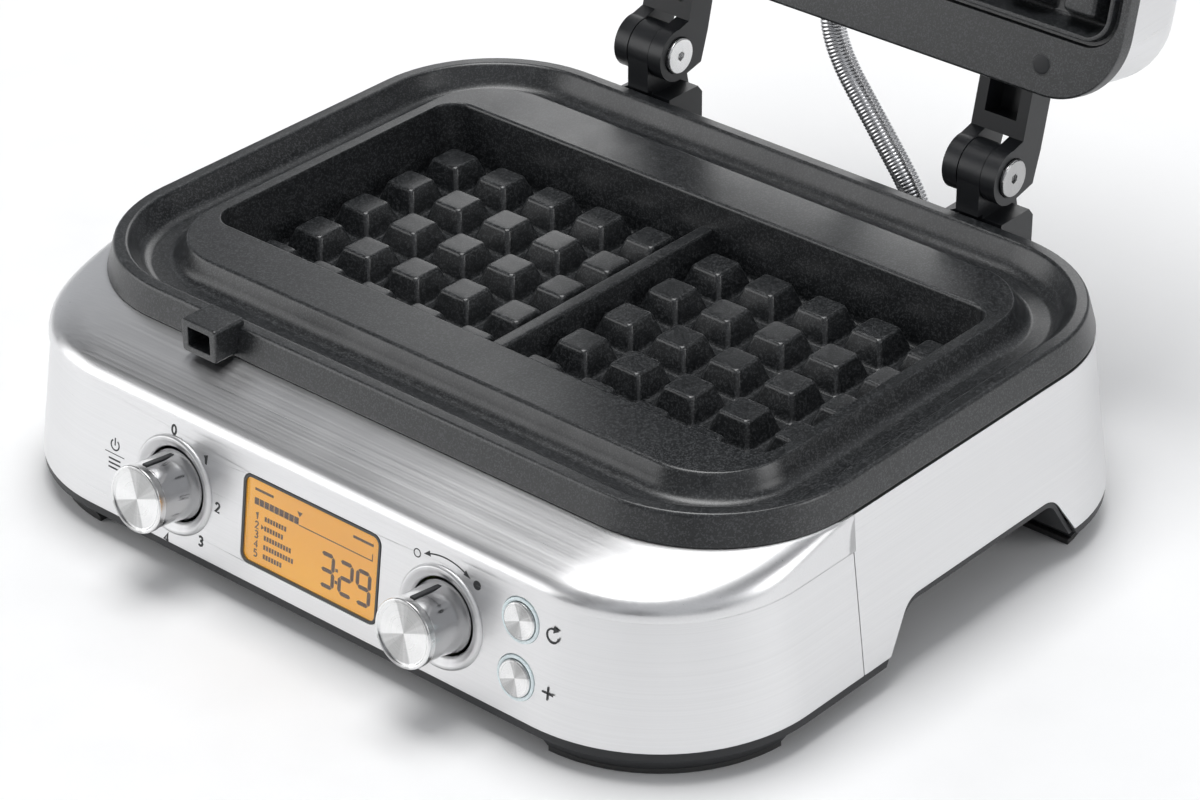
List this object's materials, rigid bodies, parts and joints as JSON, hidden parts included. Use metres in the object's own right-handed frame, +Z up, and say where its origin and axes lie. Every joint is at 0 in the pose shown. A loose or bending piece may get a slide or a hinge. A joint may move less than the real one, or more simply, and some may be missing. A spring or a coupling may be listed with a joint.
{
  "type": "waffle maker",
  "caption": "Electric waffle maker shown open: a steel-skinned base with a deep two-waffle plate inside a spill moat, a control panel with dials and display, and a hinged lid with handle.",
  "frame": {"origin": "middle of the overall box on the surface the feet stand on, lid open", "axes": "+Z up, +X to the right seen from the control panel, -Y out of the control panel"},
  "size_m": [0.3184, 0.3544, 0.3425],
  "materials": {
    "nonstick": "cast aluminium under a dark satin nonstick coating with fine speckle",
    "brushed_steel": "fine horizontal brushing",
    "spun_steel": "radially spun",
    "chrome": "polished",
    "black_plastic": "fine moulded texture",
    "hinge_black": "satin black",
    "rubber": "matt",
    "steel": "zinc plated",
    "halo": "translucent white",
    "lens": "clear",
    "lcd": "amber",
    "board": "solder mask",
    "aluminium": "cast",
    "white_plastic": "moulded"
  },
  "bodies": {
    "base": {"base_pan": "black_plastic", "foot_pads": "rubber", "side_grips": "black_plastic", "front_fascia": "brushed_steel", "deck_cover": "brushed_steel", "rear_wrap": "brushed_steel", "lower_plate": "nonstick", "plate_gasket": "rubber", "plate_screws": "steel", "lower_element": "steel", "lower_reflector": "brushed_steel", "lower_sensor": "steel", "thermal_fuse": "white_plastic", "power_board": "board", "power_relay": "black_plastic", "terminal_block": "white_plastic", "rear_housing": "black_plastic", "cord_gland": "black_plastic", "hinge_bracket_left": "hinge_black", "hinge_bracket_right": "hinge_black", "bracket_screws": "steel", "conduit_base_ferrule": "black_plastic", "wiring_conduit": "chrome", "display_bezel": "black_plastic", "display_lens": "lens", "display_panel": "lcd", "control_board": "board", "board_screws": "steel", "menu_dial_ring": "chrome", "browning_dial_ring": "chrome", "menu_encoder": "black_plastic", "browning_encoder": "black_plastic", "button_rings": "halo", "button_switches": "black_plastic"},
    "lid": {"upper_plate": "nonstick", "plate_plugs": "black_plastic", "lid_frame": "aluminium", "lid_cover": "brushed_steel", "hinge_arm_left": "hinge_black", "hinge_arm_right": "hinge_black", "hinge_bolts": "spun_steel", "arm_screws": "steel", "upper_element": "steel", "upper_reflector": "brushed_steel", "upper_sensor": "steel", "conduit_lid_ferrule": "black_plastic", "handle_bracket_left": "black_plastic", "handle_bracket_right": "black_plastic", "handle_grip": "black_plastic", "latch_pin": "steel"},
    "latch": {"storage_latch": "black_plastic"},
    "menu_knob": {"menu_dial": "chrome", "menu_dial_cap": "spun_steel", "menu_dial_pointer": "black_plastic"},
    "browning_knob": {"browning_dial": "chrome", "browning_dial_cap": "spun_steel", "browning_dial_pointer": "black_plastic"},
    "restart_key": {"restart_button": "spun_steel"},
    "extra_time_key": {"extra_time_button": "spun_steel"}
  },
  "joints": [
    {"name": "lid_hinge", "type": "hinge", "parent": "base", "child": "lid", "pos_m": [0, 0.09952, 0.0926], "axis": [1, 0, 0], "range_deg": [0, 103], "deforming": ["wiring_conduit"]},
    {"name": "latch_pivot", "type": "hinge", "parent": "lid", "child": "latch", "pos_m": [-0.066, 0.14824, 0.33074], "axis": [1, 0, 0], "range_deg": [0, 25]},
    {"name": "menu_dial_turn", "type": "hinge", "parent": "base", "child": "menu_knob", "pos_m": [-0.0594, -0.15824, 0.0325], "axis": [0, 0.9912, -0.1323], "range_deg": [0, 235]},
    {"name": "browning_dial_turn", "type": "hinge", "parent": "base", "child": "browning_knob", "pos_m": [0.0594, -0.15824, 0.0325], "axis": [0, 0.9912, -0.1323], "continuous": true},
    {"name": "restart_press", "type": "slide", "parent": "base", "child": "restart_key", "axis": [0, 0.9912, -0.1323], "range_m": [0, 0.001], "stiffness_N_per_m": 400},
    {"name": "extra_time_press", "type": "slide", "parent": "base", "child": "extra_time_key", "axis": [0, 0.9912, -0.1323], "range_m": [0, 0.001], "stiffness_N_per_m": 400}
  ]
}
